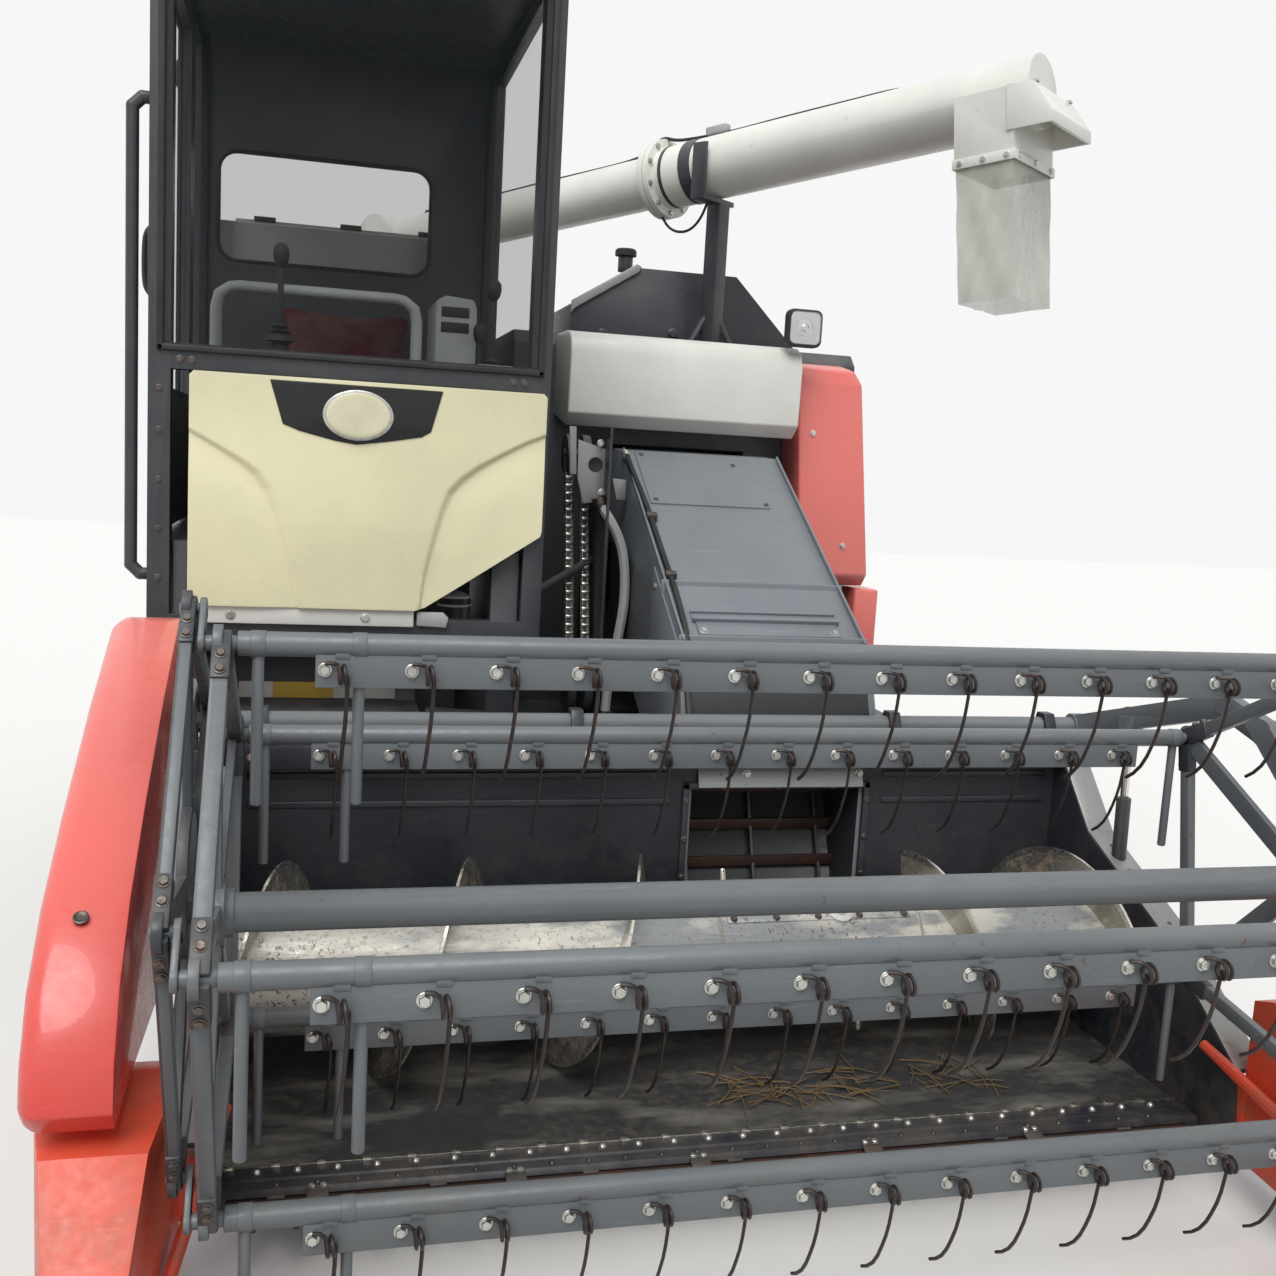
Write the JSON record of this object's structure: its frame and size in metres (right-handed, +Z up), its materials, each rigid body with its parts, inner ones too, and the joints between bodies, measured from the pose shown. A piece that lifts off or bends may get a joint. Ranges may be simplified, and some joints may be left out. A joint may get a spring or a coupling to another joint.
{
  "type": "combine harvester",
  "caption": "Small rubber-tracked combine harvester with a wide tined reel and auger header, closed cab on the right, grain tank and a swinging unloading auger with a clear spout.",
  "frame": {"origin": "centre of the bounding box on the ground under the tracks", "axes": "+Z up; the machine faces -Y, so +Y runs to its rear; +X to the machine's own left, away from the cab"},
  "size_m": [2.7627, 5.07, 2.9],
  "materials": {
    "charcoal_paint": "semi-gloss dark charcoal paint, dusty and scratched",
    "track_rubber": "matt black moulded rubber, dusty",
    "engine_iron": "painted casting, oily",
    "cream_paint": "glossy cream paint, faded and stained",
    "window_glass": "clear tinted glass",
    "seat_cover": "dark red woven seat cover",
    "grey_plastic": "light grey painted tube and console",
    "off_white_paint": "off-white paint, dusty",
    "grey_paint": "mid-grey paint, scuffed with dried mud",
    "faded_red_plastic": "sun-faded red moulded cover, chalky",
    "orange_red_paint": "orange-red paint, scuffed at the tips",
    "worn_steel": "crop-polished steel with brown rust spots",
    "knife_steel": "oily dark steel with rust",
    "clear_plastic": "milky clear flexible sheet",
    "cylinder_paint": "dark painted cylinder barrel",
    "rod_chrome": "chromed rod"
  },
  "bodies": {
    "root": {"chassis_frame": "charcoal_paint", "track_left": "track_rubber", "track_right": "track_rubber", "track_frames": "charcoal_paint", "engine_block": "engine_iron", "drive_gear": "charcoal_paint", "cab_front_panel": "cream_paint", "cab_frame": "charcoal_paint", "cab_roof": "charcoal_paint", "cab_glass": "window_glass", "seat": "seat_cover", "controls": "grey_plastic", "handrail_steps": "charcoal_paint", "grain_tank": "off_white_paint", "thresher_body": "grey_paint", "top_cover": "charcoal_paint", "front_hood": "off_white_paint", "side_covers": "faded_red_plastic", "side_panel": "off_white_paint", "straw_hood": "charcoal_paint", "lamps": "charcoal_paint", "auger_column": "off_white_paint", "auger_cradle": "charcoal_paint"},
    "screen_door_body": {"screen_door": "charcoal_paint"},
    "cab_door_body": {"cab_door": "charcoal_paint", "cab_door_glass": "window_glass"},
    "unload_head": {"unload_elbow": "off_white_paint"},
    "unload_boom": {"unload_pipe": "off_white_paint", "spout_curtain": "clear_plastic"},
    "boom_barrel": {"unload_barrel": "cylinder_paint"},
    "boom_rod": {"unload_rod": "rod_chrome"},
    "header": {"feeder_house": "grey_paint", "header_shell": "charcoal_paint", "cutterbar": "charcoal_paint", "dividers": "orange_red_paint", "header_cover": "faded_red_plastic"},
    "crop_auger": {"header_auger": "worn_steel"},
    "knife_body": {"knife": "knife_steel"},
    "reel_frame": {"reel_arms": "grey_paint"},
    "reel": {"reel_shaft": "grey_paint"},
    "eccentric": {"reel_eccentric": "charcoal_paint"},
    "lift_barrels": {"reel_barrels": "cylinder_paint"},
    "lift_rods": {"reel_rods": "rod_chrome"},
    "header_cylinder": {"header_barrel": "cylinder_paint"},
    "header_piston": {"header_rod": "rod_chrome"},
    "tine_bar_1": {"reel_bar_1": "grey_paint"},
    "tine_bar_2": {"reel_bar_2": "grey_paint"},
    "tine_bar_3": {"reel_bar_3": "grey_paint"},
    "tine_bar_4": {"reel_bar_4": "grey_paint"},
    "tine_bar_5": {"reel_bar_5": "grey_paint"}
  },
  "joints": [
    {"name": "header_lift", "type": "hinge", "parent": "root", "child": "header", "pos_m": [0.252, 0.075, 1.33], "axis": [-1, 0, 0], "range_deg": [-1.5, 25]},
    {"name": "auger_spin", "type": "hinge", "parent": "header", "child": "crop_auger", "pos_m": [-0.023, -1.215, 0.392], "axis": [1, 0, 0], "continuous": true},
    {"name": "knife_slide", "type": "slide", "parent": "header", "child": "knife_body", "axis": [1, 0, 0], "range_m": [-0.025, 0.025]},
    {"name": "reel_lift", "type": "hinge", "parent": "header", "child": "reel_frame", "pos_m": [-0.023, -0.985, 0.905], "axis": [-1, 0, 0], "range_deg": [0, 20]},
    {"name": "reel_spin", "type": "hinge", "parent": "reel_frame", "child": "reel", "pos_m": [-0.023, -1.975, 0.8], "axis": [1, 0, 0], "continuous": true},
    {"name": "eccentric_spin", "type": "hinge", "parent": "reel_frame", "child": "eccentric", "pos_m": [-1.119, -1.93, 0.845], "axis": [1, 0, 0], "continuous": true},
    {"name": "bar_1_turn", "type": "hinge", "parent": "reel", "child": "tine_bar_1", "pos_m": [-0.038, -2.04229, 1.24494], "axis": [1, 0, 0], "continuous": true},
    {"name": "bar_2_turn", "type": "hinge", "parent": "reel", "child": "tine_bar_2", "pos_m": [-0.038, -1.57263, 1.00149], "axis": [1, 0, 0], "continuous": true},
    {"name": "bar_3_turn", "type": "hinge", "parent": "reel", "child": "tine_bar_3", "pos_m": [-0.038, -1.65903, 0.47959], "axis": [1, 0, 0], "continuous": true},
    {"name": "bar_4_turn", "type": "hinge", "parent": "reel", "child": "tine_bar_4", "pos_m": [-0.038, -2.18209, 0.40048], "axis": [1, 0, 0], "continuous": true},
    {"name": "bar_5_turn", "type": "hinge", "parent": "reel", "child": "tine_bar_5", "pos_m": [-0.038, -2.41896, 0.8735], "axis": [1, 0, 0], "continuous": true},
    {"name": "reel_barrel_tilt", "type": "hinge", "parent": "header", "child": "lift_barrels", "pos_m": [-0.023, -1.235, 0.56], "axis": [-1, 0, 0], "range_deg": [0, 2.25]},
    {"name": "reel_rod_slide", "type": "slide", "parent": "lift_barrels", "child": "lift_rods", "axis": [0, 0.0274, 0.9996], "range_m": [0, 0.0825]},
    {"name": "header_barrel_tilt", "type": "hinge", "parent": "root", "child": "header_cylinder", "pos_m": [0.057, 0.04, 0.6], "axis": [-1, 0, 0], "range_deg": [-1.1, 18.05]},
    {"name": "header_rod_slide", "type": "slide", "parent": "header_cylinder", "child": "header_piston", "axis": [0, -0.9854, 0.1705], "range_m": [-0.019, 0.3085]},
    {"name": "unload_slew", "type": "hinge", "parent": "root", "child": "unload_head", "pos_m": [-0.598, 2.075, 2.08], "axis": [0, 0, 1], "range_deg": [0, 200]},
    {"name": "unload_lift", "type": "hinge", "parent": "unload_head", "child": "unload_boom", "pos_m": [-0.598, 2.075, 2.45], "axis": [-0.8, -0.6, 0], "range_deg": [0, 35]},
    {"name": "unload_barrel_tilt", "type": "hinge", "parent": "unload_head", "child": "boom_barrel", "pos_m": [-0.508, 1.955, 2.14], "axis": [-0.8, -0.6, 0], "range_deg": [0, 30.6]},
    {"name": "unload_rod_slide", "type": "slide", "parent": "boom_barrel", "child": "boom_rod", "axis": [0.5432, -0.7243, 0.4247], "range_m": [0, 0.2045]},
    {"name": "cab_door_swing", "type": "hinge", "parent": "root", "child": "cab_door_body", "pos_m": [-1.339, 0.144, 2], "axis": [0, 0, -1], "range_deg": [0, 90]},
    {"name": "screen_door_swing", "type": "hinge", "parent": "root", "child": "screen_door_body", "pos_m": [-1.327, -0.086, 1], "axis": [0, 0, 1], "range_deg": [0, 90]}
  ],
  "couplings": [
    {"joint": "eccentric_spin", "follows": "reel_spin", "ratio": 1},
    {"joint": "bar_1_turn", "follows": "reel_spin", "ratio": -1},
    {"joint": "bar_2_turn", "follows": "reel_spin", "ratio": -1},
    {"joint": "bar_3_turn", "follows": "reel_spin", "ratio": -1},
    {"joint": "bar_4_turn", "follows": "reel_spin", "ratio": -1},
    {"joint": "bar_5_turn", "follows": "reel_spin", "ratio": -1},
    {"joint": "reel_barrel_tilt", "follows": "reel_lift", "ratio": 0.11012},
    {"joint": "reel_rod_slide", "follows": "reel_lift", "m_per_rad": 0.23568},
    {"joint": "header_barrel_tilt", "follows": "header_lift", "ratio": 0.72031},
    {"joint": "header_rod_slide", "follows": "header_lift", "m_per_rad": 0.70562},
    {"joint": "unload_barrel_tilt", "follows": "unload_lift", "ratio": 0.8714},
    {"joint": "unload_rod_slide", "follows": "unload_lift", "m_per_rad": 0.33433}
  ]
}
